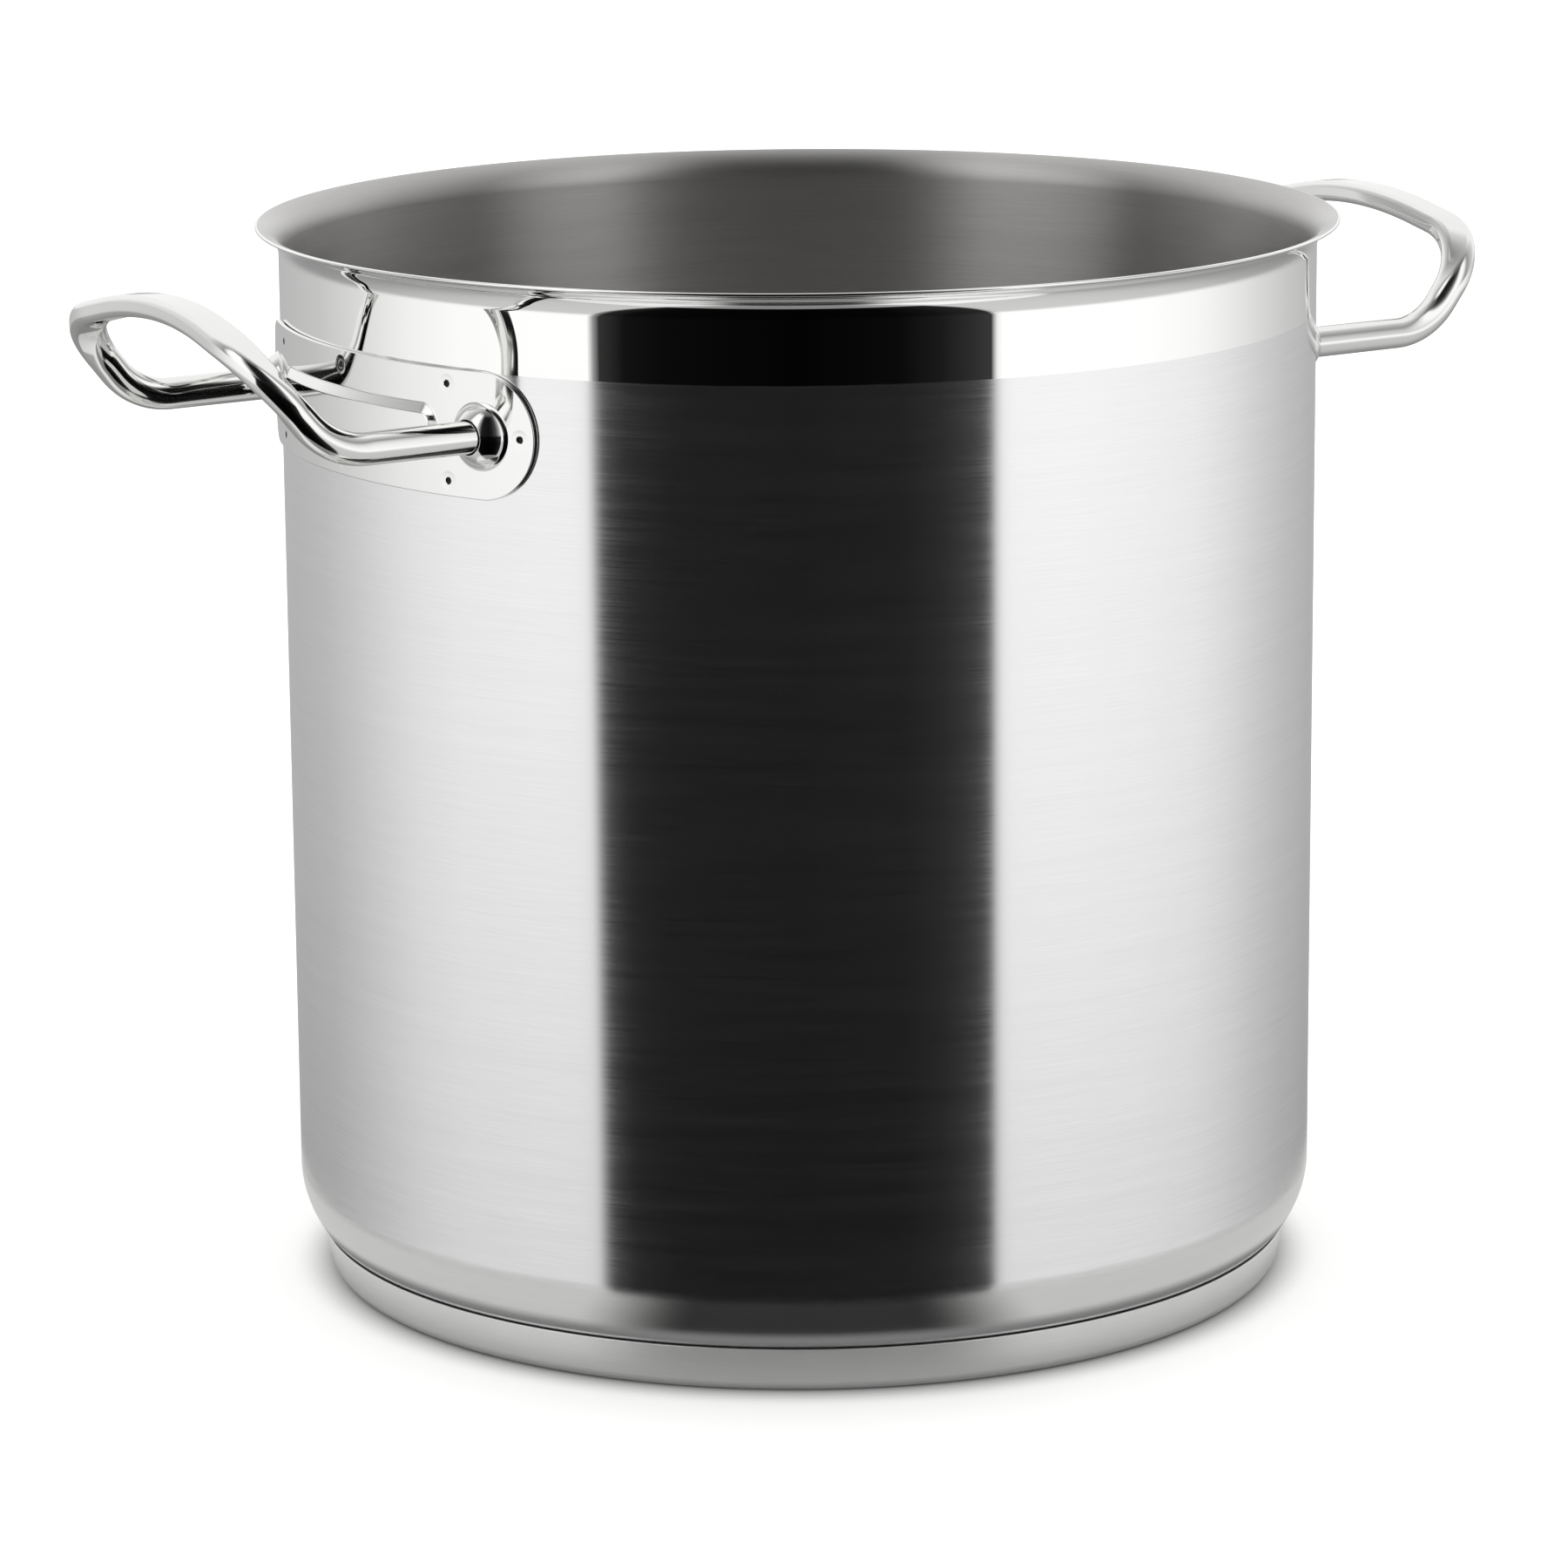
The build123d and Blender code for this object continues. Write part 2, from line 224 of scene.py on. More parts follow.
# Polished stainless steel: buffed with compound to a mirror. Only a faint haze and very slow
# waves in the sheet bend what it reflects.
def polished(name, colour, smoothest, haze, wave, depth):
    finish, tree, shader = new_finish(name)
    place = add_node(tree, "ShaderNodeTexCoord", {})
    sheet = add_node(
        tree, "ShaderNodeTexNoise", {"Scale": 1 / wave, "Detail": 1.0},
        [("Vector", place.outputs["Object"])],
    )
    cloud = add_node(
        tree, "ShaderNodeMapRange",
        {"From Min": 0.35, "From Max": 0.7, "To Min": smoothest, "To Max": smoothest + haze},
        [("Value", sheet.outputs["Fac"])],
    )
    relief = add_node(
        tree, "ShaderNodeBump", {"Strength": 0.4, "Distance": depth},
        [("Height", sheet.outputs["Fac"])],
    )
    shader.inputs["Metallic"].default_value = 1.0
    shader.inputs["Base Color"].default_value = linear(colour)
    tree.links.new(cloud.outputs[0], shader.inputs["Roughness"])
    tree.links.new(relief.outputs[0], shader.inputs["Normal"])
    return finish


mirror_band = polished("polished_stainless_band", "#f4f4f3", 0.004, 0.012, 60 * MM, 0.01 * MM)

lip_centre = (side_reach + LIP_BEND, lip_start)
edge_turn = math.radians(180 - LIP_TURN)
edge_centre = (
    lip_centre[0] + lip_side * math.cos(edge_turn),
    lip_centre[1] + lip_side * math.sin(edge_turn),
)
outline = [((0, underside), (0, -1))]
outline += arc((bend_reach, bend_height), BOTTOM_BEND, -90, 0, 24)
outline += [((side_reach, pot_rim - POLISHED_BAND), (1, 0))]
band_point = len(outline) - 1
outline += arc(lip_centre, LIP_BEND, 180, 180 - LIP_TURN, 20, facing=-1)
outline += arc(edge_centre, SHEET / 2, -LIP_TURN, 180 - LIP_TURN, 8)[1:-1]
flare_point = len(outline)
outline += arc(lip_centre, LIP_BEND + SHEET, 180 - LIP_TURN, 180, 20)
outline += arc((bend_reach, bend_height), BOTTOM_BEND - SHEET, 0, -90, 24, facing=-1)
outline += [((0, underside + SHEET), (0, 1))]
pot = turned(
    "pot_body_shell", outline,
    [(0, satin_side), (band_point, mirror_band), (flare_point, satin_inside)],
)
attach(pot, "root")
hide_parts("pot_body")

# ---------------------------------------------------------------------------
# Base: an aluminium disc bonded under the pot spreads the heat, and a shallow
# pressed stainless cap closes it. The cap's rim stops a hair off the pot, which
# leaves a fine dark seam. The disc stays as it is in the CAD, hidden by the cap.
# ---------------------------------------------------------------------------
cap_low, cap_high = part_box("base_cap")
CAP_SHEET = 0.8 * MM
CAP_FLARE = 13
CAP_BEND = 5.0 * MM
CAP_RIM = 0.25 * MM

cap_lean = math.tan(math.radians(CAP_FLARE))
cap_foot = cap_high[1] - (cap_high[2] - cap_low[2]) * cap_lean
way_up = (math.sin(math.radians(CAP_FLARE)), math.cos(math.radians(CAP_FLARE)))


def cap_side(height, depth):
    """Reach of the cap's sloping side, depth in from its outer face."""
    return cap_foot + height * cap_lean - depth / way_up[1]


def cap_bend(radius, depth):
    """Centre of the round between the cap's flat bottom and its side."""
    height = depth + radius
    return (cap_side(height, depth + radius), height)


rim_top = cap_high[2]
cap_outline = [((0, 0), (0, -1))]
cap_outline += arc(cap_bend(CAP_BEND, 0), CAP_BEND, -90, -CAP_FLARE, 14)
cap_outline += arc((cap_side(rim_top - CAP_RIM, CAP_RIM), rim_top - CAP_RIM), CAP_RIM, -CAP_FLARE, 90, 5)
cap_outline += arc(
    (cap_side(rim_top - CAP_RIM, CAP_SHEET - CAP_RIM), rim_top - CAP_RIM), CAP_RIM, 90, 180 - CAP_FLARE, 5,
)
cap_outline += arc(
    cap_bend(CAP_BEND - CAP_SHEET, CAP_SHEET), CAP_BEND - CAP_SHEET, -CAP_FLARE, -90, 12, facing=-1,
)
cap_outline += [((0, CAP_SHEET), (0, 1))]

# Satin stainless steel: rubbed finer than the pot's side, so it reads as an even light grey.
satin_cap = brushed("satin_stainless_cap", "#dededd", "#e4e4e3", 0.45, 0.04, 0.001 * MM, 0.4)
# Its fine grey bloom scatters part of the light in all directions.
satin_cap.node_tree.nodes["Principled BSDF"].inputs["Metallic"].default_value = 0.8
cap = turned("base_cap_dish", cap_outline, [(0, satin_cap)])
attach(cap, "root")
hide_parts("base_cap")


# Rolled aluminium: a pale, slightly blue, cloudy metal with fine rolling lines one way.
def plain_metal(name, dark, light, smoothest, roughest, grain):
    finish, tree, shader = new_finish(name)
    place = add_node(tree, "ShaderNodeTexCoord", {})
    lines = add_node(
        tree, "ShaderNodeMapping", {"Scale": grain}, [("Vector", place.outputs["Object"])],
    )
    cloud = add_node(
        tree, "ShaderNodeTexNoise", {"Scale": 1.0, "Detail": 5.0},
        [("Vector", lines.outputs["Vector"])],
    )
    colour = add_node(
        tree, "ShaderNodeMix", {"data_type": "RGBA", 6: linear(dark), 7: linear(light)},
        [(0, cloud.outputs["Fac"])],
    )
    rough = add_node(
        tree, "ShaderNodeMapRange", {"To Min": smoothest, "To Max": roughest},
        [("Value", cloud.outputs["Fac"])],
    )
    shader.inputs["Metallic"].default_value = 1.0
    tree.links.new(colour.outputs[2], shader.inputs["Base Color"])
    tree.links.new(rough.outputs[0], shader.inputs["Roughness"])
    return finish


def refinish(node_name, finish):
    """Gives a CAD node that is shown as it is its real finish."""
    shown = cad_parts[node_name]
    shown.data.materials.clear()
    shown.data.materials.append(finish)


ROLLING_LINE = 0.8 * MM
rolled_aluminium = plain_metal(
    "rolled_aluminium", "#c9ccd1", "#e2e4e8", 0.35, 0.55,
    (1 / ROLLING_LINE, 0.04 / ROLLING_LINE, 1 / ROLLING_LINE),
)
refinish("base_core_disc", rolled_aluminium)

# ---------------------------------------------------------------------------
# Handle plates: a strip of polished sheet with round ends at each side, rolled to
# the pot. A raised panel stiffens its middle and a hollow dome takes each leg.
# Resistance spot welds hold it, each marked by the electrode's small dent.
# ---------------------------------------------------------------------------
plate_low, plate_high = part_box("right_handle_plate")
PLATE_SHEET = 1.5 * MM
PLATE_STANDOFF = 0.4 * MM
LEG_SPACING = 138.0 * MM
LEG_ROD = 11.0 * MM
DOME_FOOT = 11.8 * MM
DOME_RISE = 6.6 * MM
DOME_BLEND = 2.0 * MM
HOLE_GAP = 0.5 * MM
PANEL_LAND = 6.5 * MM
PANEL_TALL = 17.6 * MM
PANEL_RISE = 1.6 * MM
PANEL_SLOPE = 3.2 * MM
PANEL_CORNER = 7.0 * MM
PANEL_CREASE = 0.45 * MM           # the press rounds each crease this far either side
DENT = 2.4 * MM
DENT_DEPTH = 0.5 * MM
ELECTRODE = 6.4 * MM
ELECTRODE_MARK = 0.05 * MM
EDGE_ROUND = 0.35 * MM
SPOT_EDGE = 5.2 * MM               # rows of spot welds in from the long edges
SPOT_INSET = 13.9 * MM             # outer spots of each row in from the dome's middle
END_SPOT_INSET = 5.6 * MM          # spot beyond each dome, in from the plate's end

handle_height = (plate_low[2] + plate_high[2]) / 2
plate_half = (plate_high[2] - plate_low[2]) / 2
plate_face = side_reach + PLATE_STANDOFF + PLATE_SHEET
leg_along = plate_face * math.asin(LEG_SPACING / 2 / plate_face)
panel_long = leg_along - DOME_FOOT - PANEL_LAND
dome_ball = (DOME_FOOT**2 + DOME_RISE**2) / (2 * DOME_RISE) - DOME_BLEND
dome_seam = dome_ball * math.cos(math.atan2(DOME_BLEND - DOME_RISE + dome_ball, DOME_FOOT))
dent_ball = ((DENT / 2) ** 2 + DENT_DEPTH**2) / (2 * DENT_DEPTH)
spot_row = plate_half - SPOT_EDGE
spot_side = leg_along - SPOT_INSET
spot_end = leg_along + plate_half - END_SPOT_INSET
spot_marks = [(along, up) for along in (-spot_side, 0, spot_side) for up in (spot_row, -spot_row)]
spot_marks += [(-spot_end, 0), (spot_end, 0)]


def eased(x, crease):
    """0 below 0 and x above it, with the bend rounded over a crease each way."""
    if x <= -crease:
        return 0.0
    return x if x >= crease else (x + crease) ** 2 / (4 * crease)


def inside_panel(along, up):
    """How far a point lies inside the panel's foot, whose corners are round."""
    x = abs(along) - panel_long + PANEL_CORNER
    y = abs(up) - PANEL_TALL / 2 + PANEL_CORNER
    return PANEL_CORNER - math.hypot(max(x, 0), max(y, 0)) - min(max(x, y), 0)


def pressing(along, up):
    """Height of the pressed panel and domes above the flat of the plate."""
    deep = inside_panel(along, up)
    rise = (eased(deep, PANEL_CREASE) - eased(deep - PANEL_SLOPE, PANEL_CREASE)) * PANEL_RISE / PANEL_SLOPE
    off = math.hypot(abs(along) - leg_along, up)
    if off < dome_seam:
        rise += DOME_RISE - dome_ball + math.sqrt(dome_ball**2 - off**2)
    elif off < DOME_FOOT:
        rise += DOME_BLEND - math.sqrt(DOME_BLEND**2 - (DOME_FOOT - off) ** 2)
    return rise


def marking(along, up):
    """Depth of the electrode marks of the spot welds."""
    depth = 0.0
    for spot in spot_marks:
        off = math.hypot(along - spot[0], up - spot[1])
        if off < DENT / 2:
            depth += math.sqrt(dent_ball**2 - off**2) - dent_ball + DENT_DEPTH
        if off < ELECTRODE / 2:
            depth += ELECTRODE_MARK * min(1.0, (ELECTRODE / 2 - off) / (0.4 * MM))
    return depth


def on_plate(along, up, height):
    """Point over the plate, along it from its middle, up from its middle and out from its face."""
    turn, reach = along / plate_face, plate_face + height
    return Vector((reach * math.cos(turn), reach * math.sin(turn), handle_height + up))


def plate_front(along, up):
    return on_plate(along, up, pressing(along, up) - marking(along, up))


def plate_plain(along, up):
    return on_plate(along, up, pressing(along, up))


def facing_out(surface, along, up, step=0.01 * MM):
    """Direction straight out of a surface at a point."""
    across = surface(along + step, up) - surface(along - step, up)
    upward = surface(along, up + step) - surface(along, up - step)
    return across.cross(upward).normalized()


def ring(centre, radius, steps):
    turns = [2 * math.pi * n / steps for n in range(steps)]
    return [(centre[0] + radius * math.cos(t), centre[1] + radius * math.sin(t)) for t in turns]


def round_ended(long, tall, corner, steps):
    """Loop of a bar with rounded corners, as half lengths, with the turn at each point."""
    found = []
    for right, top, start in ((1, 1, 0), (-1, 1, 90), (-1, -1, 180), (1, -1, 270)):
        for n in range(steps + 1):
            turn = math.radians(start + 90 * n / steps)
            x = right * (long - corner) + corner * math.cos(turn)
            found.append((x, top * (tall - corner) + corner * math.sin(turn)))
    return found


def filled_in(loop, gap):
    """The loop with points added so that none are further apart than gap."""
    found = []
    for n, start in enumerate(loop):
        end = loop[(n + 1) % len(loop)]
        parts = max(1, round(math.dist(start, end) / gap))
        found += [(start[0] + (end[0] - start[0]) * k / parts, start[1] + (end[1] - start[1]) * k / parts)
                  for k in range(parts)]
    return found


def plate_outline(inset):
    """Edge of the plate, and the direction out of it at each point."""
    found = []
    for right, start in ((1, -90), (-1, 90)):
        for n in range(49):
            turn = math.radians(start + 180 * n / 48)
            way = (math.cos(turn), math.sin(turn))
            reach = plate_half - inset
            found.append(((right * leg_along + reach * way[0], reach * way[1]), way))
        for n in range(1, 56):
            x = right * leg_along * (1 - n / 28)
            found.append(((x, right * (plate_half - inset)), (0, right)))
    return found


def leg_hole(side, radius, steps=64):
    """Loop on the dome where the leg's round hole comes through it, square to the leg."""
    found = []
    for n in range(steps):
        turn = 2 * math.pi * n / steps
        up, across = radius * math.sin(turn), side * LEG_SPACING / 2 + radius * math.cos(turn)
        along = side * leg_along
        for tries in range(30):
            reach = plate_face + pressing(along, up)
            along = plate_face * math.asin(across / reach)
        found.append((along, up))
    return found


def handle_plate(name, turn, finish, dent_finish):
    hole = LEG_ROD / 2 + HOLE_GAP
    holes = [leg_hole(side, hole + EDGE_ROUND) for side in (1, -1)]
    edge = [place for place, way in plate_outline(EDGE_ROUND)]
    loops = [edge] + holes
    points = [place for loop in loops for place in loop]
    held, start = [], 0
    for loop in loops:
        held += [(start + n, start + (n + 1) % len(loop)) for n in range(len(loop))]
        start += len(loop)

    # Rows of points follow each crease, foot and dent, with a plain grid between them.
    detail = []
    for deep in (-1, -0.5, 0, 0.5, 1):
        for crease in (0, PANEL_SLOPE):
            inset = crease + deep * PANEL_CREASE
            corner = max(PANEL_CORNER - inset, 0.4 * MM)
            loop = round_ended(panel_long - inset, PANEL_TALL / 2 - inset, corner, 14)
            detail += filled_in(loop, 1.6 * MM)
    for side in (1, -1):
        for part in (0.66, 0.74, 0.8, 0.85, 0.88, 0.91, 0.94, 0.97, 1.0, 1.04):
            loop = ring((side * leg_along, 0), part * DOME_FOOT, 88)
            clear = 0.5 * MM
            detail += [p for p in loop if all(math.dist(p, q) > clear for h in holes for q in h)]
    for spot in spot_marks:
        for radius in (0.3, 0.65, 1.0, 1.2, 1.4, 2.8, 3.2, 3.5):
            detail += ring(spot, radius * MM, 20)
        detail.append(spot)
    grid = 2.4 * MM
    taken = {(round(x / grid), round(y / grid)) for x, y in detail}
    long, tall = int((leg_along + plate_half) / grid) + 1, int(plate_half / grid) + 1
    for i in range(-long, long + 1):
        for j in range(-tall, tall + 1):
            x, y = i * grid, j * grid
            reach = math.hypot(max(abs(x) - leg_along, 0), y)
            if (i, j) not in taken and reach < plate_half - 1.2 * MM:
                detail.append((x, y))

    def in_hole(x, y):
        across = (plate_face + pressing(x, y)) * math.sin(abs(x) / plate_face) - LEG_SPACING / 2
        return math.hypot(across, y) < hole + EDGE_ROUND - 0.002 * MM

    points += [p for p in detail if not in_hole(*p)]
    flat, edges, faces, *rest = geometry.delaunay_2d_cdt(
        [Vector((x / MM, y / MM)) for x, y in points], held, [], 0, 1e-4,
    )
    flat = [(p.x * MM, p.y * MM) for p in flat]
    kept = []
    for face in faces:
        x = sum(flat[n][0] for n in face) / 3
        y = sum(flat[n][1] for n in face) / 3
        if not in_hole(x, y):
            a, b, c = (flat[n] for n in face)
            spin = (b[0] - a[0]) * (c[1] - a[1]) - (b[1] - a[1]) * (c[0] - a[0])
            kept.append(tuple(face) if spin > 0 else tuple(reversed(face)))
    count = len(flat)
    verts = [plate_front(*p) for p in flat]
    normals = [facing_out(plate_front, *p) for p in flat]
    plain = [facing_out(plate_plain, *p) for p in flat]
    verts += [plate_plain(*p) - way * PLATE_SHEET for p, way in zip(flat, plain)]
    normals += [-way for way in plain]
    faces = kept + [tuple(n + count for n in reversed(face)) for face in kept]

    # Round the sheet's edge over between its front and its back.
    starts, found = [], 0
    for loop in loops:
        starts.append(found)
        found += len(loop)
    rounding = [
        (EDGE_ROUND * (1 - math.sin(math.radians(t))), EDGE_ROUND * (1 - math.cos(math.radians(t))), t)
        for t in (30, 60, 90)
    ]
    steps = rounding + [(inset, PLATE_SHEET - depth, 180 - t) for inset, depth, t in reversed(rounding)]
    for which, loop in enumerate(loops):
        before = [starts[which] + n for n in range(len(loop))]
        for inset, depth, tip in steps:
            row = []
            tip = math.radians(tip)
            if which == 0:
                rim = plate_outline(inset)
                places = [on_plate(*place, 0) for place, way in rim]
                outs = [on_plate(*place, MM) - on_plate(*place, 0) for place, way in rim]
                sides = [on_plate(place[0] + way[0] * MM, place[1] + way[1] * MM, 0) - on_plate(*place, 0)
                         for place, way in rim]
            else:
                side = 1 if which == 1 else -1
                rim = leg_hole(side, hole + inset)
                places = [plate_plain(*place) for place in rim]
                outs = [facing_out(plate_plain, *place) * MM for place in rim]
                middle = Vector((0, side * LEG_SPACING / 2, handle_height))
                sides = []
                for place in places:
                    inward = middle - place
                    inward.x = 0
                    sides.append(inward)
            for place, out, side_way in zip(places, outs, sides):
                out, side_way = out.normalized(), side_way.normalized()
                row.append(len(verts))
                verts.append(place - out * depth)
                normals.append((out * math.cos(tip) + side_way * math.sin(tip)).normalized())
            faces += wall_between(before, row, which != 0)
            before = row
        faces += wall_between(before, [starts[which] + count + n for n in range(len(loop))], which != 0)

    spin = Matrix.Rotation(turn, 4, "Z")
    in_dent = [
        any(math.dist(flat[n], spot) < DENT / 2 for spot in spot_marks for n in face) for face in kept
    ]
    slots = [int(dented) for dented in in_dent] + [0] * (len(faces) - len(kept))
    made = piece_from(
        name, [spin @ v for v in verts], faces, [(spin.to_3x3() @ n).normalized() for n in normals],
        [finish, dent_finish], slots,
    )
    return made


def wall_between(first, second, flip):
    """Faces between two loops of equal count."""
    found = []
    for n in range(len(first)):
        after = (n + 1) % len(first)
        face = (first[n], second[n], second[after], first[after])
        found.append(tuple(reversed(face)) if flip else face)
    return found


# Polished stainless sheet, buffed after pressing: a clear mirror with slow ripples from the press.
mirror_plate = polished("polished_stainless_plate", "#ededec", 0.04, 0.03, 35 * MM, 0.015 * MM)
# Unbuffed metal at the bottom of each weld's dent, coloured dark: a dark dull spot.
dark_dent = plain_metal("dark_weld_dent", "#2c2b2a", "#454443", 0.45, 0.6, (1 / (0.3 * MM),) * 3)
for side, turn in (("right", 0.0), ("left", math.pi)):
    plate = handle_plate(f"{side}_handle_plate_sheet", turn, mirror_plate, dark_dent)
    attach(plate, "root")
    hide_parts(f"{side}_handle_plate")

# ---------------------------------------------------------------------------
# Handle bars: 11 mm round stainless rod. Its two legs come level out of the domes,
# bend up and in, and it is pressed flatter along the grip so that it suits a hand.
# ---------------------------------------------------------------------------
GRIP_WIDE, GRIP_THICK, GRIP_CORNER = 13.0 * MM, 7.6 * MM, 2.6 * MM
FLATTENING = 55.0 * MM
BEND_OUT, BOW_OUT, TOP_OUT = 43.8 * MM, 69.3 * MM, 66.4 * MM      # from the pot's side
BOW_RISE, TOP_RISE = 30.0 * MM, 45.0 * MM                         # above the legs
BOW_INSET = 3.0 * MM
LEG_BEND, BOW_BEND, GRIP_BEND = 28.0 * MM, 26.0 * MM, 158.0 * MM
bar_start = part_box("right_handle_bar")[0][0]
bar_points = [
    (bar_start, LEG_SPACING / 2, 0.0),
    (side_reach + BEND_OUT, LEG_SPACING / 2, 0.0),
    (side_reach + BOW_OUT, LEG_SPACING / 2 - BOW_INSET, BOW_RISE),
    (side_reach + TOP_OUT, 0.0, TOP_RISE),
]
bar_points = [Vector((x, y, handle_height + z)) for x, y, z in bar_points]
bar_points += [Vector((p.x, -p.y, p.z)) for p in reversed(bar_points[:3])]
bar_bends = [LEG_BEND, BOW_BEND, GRIP_BEND, BOW_BEND, LEG_BEND]


def bent_line(points, bends, gap):
    """Runs and true arcs through the corners, as evenly spaced (point, direction) along it."""
    runs, last = [], points[0]
    for n, bend in enumerate(bends):
        before, corner, after = points[n], points[n + 1], points[n + 2]
        come, go = (corner - before).normalized(), (after - corner).normalized()
        turn = come.angle(go)
        cut = bend * math.tan(turn / 2)
        start, inward = corner - come * cut, (go - come * come.dot(go)).normalized()
        runs.append(("run", last, come, (start - last).length, None))
        runs.append(("arc", start, come, bend * turn, (inward, bend)))
        last = corner + go * cut
    end = points[-1]
    runs.append(("run", last, (end - last).normalized(), (end - last).length, None))
    total = sum(run[3] for run in runs)
    steps = round(total / gap)
    found = []
    for n in range(steps + 1):
        far = total * n / steps
        for kind, start, way, long, bend in runs:
            if far <= long + 1e-9:
                break
            far -= long
        if kind == "run":
            found.append((start + way * far, way))
        else:
            inward, radius = bend
            turn = far / radius
            place = start + (way * math.sin(turn) + inward * (1 - math.cos(turn))) * radius
            found.append((place, way * math.cos(turn) + inward * math.sin(turn)))
    return found, total


def handle_bar(name, turn, finish):
    line, total = bent_line(bar_points, bar_bends, 1.5 * MM)
    leg = side_reach + BEND_OUT - bar_start
    spin = Matrix.Rotation(turn, 4, "Z")
    verts, faces, rows = [], [], []
    for n, (place, way) in enumerate(line):
        from_end = total * min(n, len(line) - 1 - n) / (len(line) - 1)
        share = min(1.0, max(0.0, (from_end - leg) / FLATTENING))
        share = share * share * (3 - 2 * share)
        wide = LEG_ROD + share * (GRIP_WIDE - LEG_ROD)
        thick = LEG_ROD + share * (GRIP_THICK - LEG_ROD)
        corner = LEG_ROD / 2 + share * (GRIP_CORNER - LEG_ROD / 2)
        level = Vector((0, 0, 1)).cross(way).normalized()
        upward = way.cross(level)
        row = []
        for x, y in round_ended(wide / 2, thick / 2, corner - 0.001 * MM, 12):
            row.append(len(verts))
            verts.append(spin @ (place + level * x + upward * y))
        rows.append(row)
    for before, row in zip(rows, rows[1:]):
        faces += wall_between(before, row, True)
    faces.append(tuple(reversed(rows[0])))
    faces.append(tuple(rows[-1]))
    mesh = bpy.data.meshes.new(name)
    mesh.from_pydata(verts, [], faces)
    mesh.materials.append(finish)
    mesh.shade_smooth()
    mesh.set_sharp_from_angle(angle=math.radians(50))
    mesh.update()
    made = bpy.data.objects.new(name, mesh)
    bpy.context.scene.collection.objects.link(made)
    return made


# Polished stainless rod: buffed along its length to a mirror, a shade warmer than the sheet.
mirror_bar = polished("polished_stainless_bar", "#ececea", 0.05, 0.04, 18 * MM, 0.02 * MM)
for side, turn in (("right", 0.0), ("left", math.pi)):
    bar = handle_bar(f"{side}_handle_bar_rod", turn, mirror_bar)
    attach(bar, "root")
    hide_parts(f"{side}_handle_bar")

# ---------------------------------------------------------------------------
# Welds: nuggets of melted steel between each plate and the pot, and a bead inside
# each dome that joins it to its leg. All stay as in the CAD, hidden by the plates.
# ---------------------------------------------------------------------------
# Weld metal: stainless steel as it froze, grey to straw and rippled.
RIPPLE = 0.6 * MM
weld_steel = plain_metal("stainless_weld_metal", "#8c867d", "#b9b5ad", 0.35, 0.6, (1 / RIPPLE,) * 3)
for side in ("right", "left"):
    refinish(f"{side}_handle_spot_welds", weld_steel)
    refinish(f"{side}_handle_end_welds", weld_steel)

# ---------------------------------------------------------------------------
# Studio: a pale floor, one wide soft light all round and a dark card behind the
# camera that the bright metal mirrors as a broad black stripe.
# ---------------------------------------------------------------------------
CAMERA_AZIMUTH = -33.0
CAMERA_BACK, CAMERA_HIGH = 2.1784, 0.6663
CAMERA_YAW, CAMERA_PITCH, CAMERA_ROLL = -0.196, -12.807, -0.458

seat = Matrix.Rotation(math.radians(CAMERA_AZIMUTH), 4, "Z")
lens = bpy.data.cameras.new("studio_camera")
lens.sensor_width = 36.0
lens.lens = 143.75
lens.clip_end = 60.0
camera = bpy.data.objects.new("studio_camera", lens)
bpy.context.scene.collection.objects.link(camera)
yaw, pitch = math.radians(CAMERA_YAW), math.radians(CAMERA_PITCH)
ahead = Vector((math.sin(yaw) * math.cos(pitch), math.cos(yaw) * math.cos(pitch), math.sin(pitch)))
right = Vector((math.cos(yaw), -math.sin(yaw), 0))
above = right.cross(ahead)
roll = Matrix.Rotation(-math.radians(CAMERA_ROLL), 3, ahead)
right, above = roll @ right, roll @ above
axes = Matrix((right, above, -ahead)).transposed().to_4x4()
camera.matrix_world = seat @ Matrix.Translation((0, -CAMERA_BACK, CAMERA_HIGH)) @ axes
bpy.context.scene.camera = camera


def flat_sheet(name, half, height, finish):
    mesh = bpy.data.meshes.new(name)
    corners = [(-half, -half, height), (half, -half, height), (half, half, height), (-half, half, height)]
    mesh.from_pydata(corners, [], [(0, 1, 2, 3)])
    mesh.materials.append(finish)
    made = bpy.data.objects.new(name, mesh)
    bpy.context.scene.collection.objects.link(made)
    return made


# Matt white laminate: flat, clean and without gloss.
laminate, laminate_tree, laminate_shader = new_finish("matt_white_laminate")
laminate_shader.inputs["Roughness"].default_value = 0.9
laminate_shader.inputs["Specular IOR Level"].default_value = 0.0
laminate_place = add_node(laminate_tree, "ShaderNodeTexCoord", {})
laminate_reach = add_node(
    laminate_tree, "ShaderNodeVectorMath", {"operation": "LENGTH"},
    [(0, laminate_place.outputs["Object"])],
)
# Painted shadow: the floor's colour darkens to grey right beside the base, standing in for the shade of
# the pot's foot.
laminate_painted_shadow = add_node(
    laminate_tree, "ShaderNodeMapRange",
    {"interpolation_type": "SMOOTHERSTEP", "From Min": 0.158, "From Max": 0.188},
    [("Value", laminate_reach.outputs["Value"])],
)
# Mixes the painted shadow's grey into the white laminate.
laminate_tone_with_painted_shadow = add_node(
    laminate_tree, "ShaderNodeMix", {"data_type": "RGBA", 6: linear("#868686"), 7: linear("#f6f6f5")},
    [(0, laminate_painted_shadow.outputs[0])],
)
laminate_tree.links.new(laminate_tone_with_painted_shadow.outputs[2], laminate_shader.inputs["Base Color"])
floor = flat_sheet("floor", 14.0, 0.0, laminate)
floor.visible_glossy = False
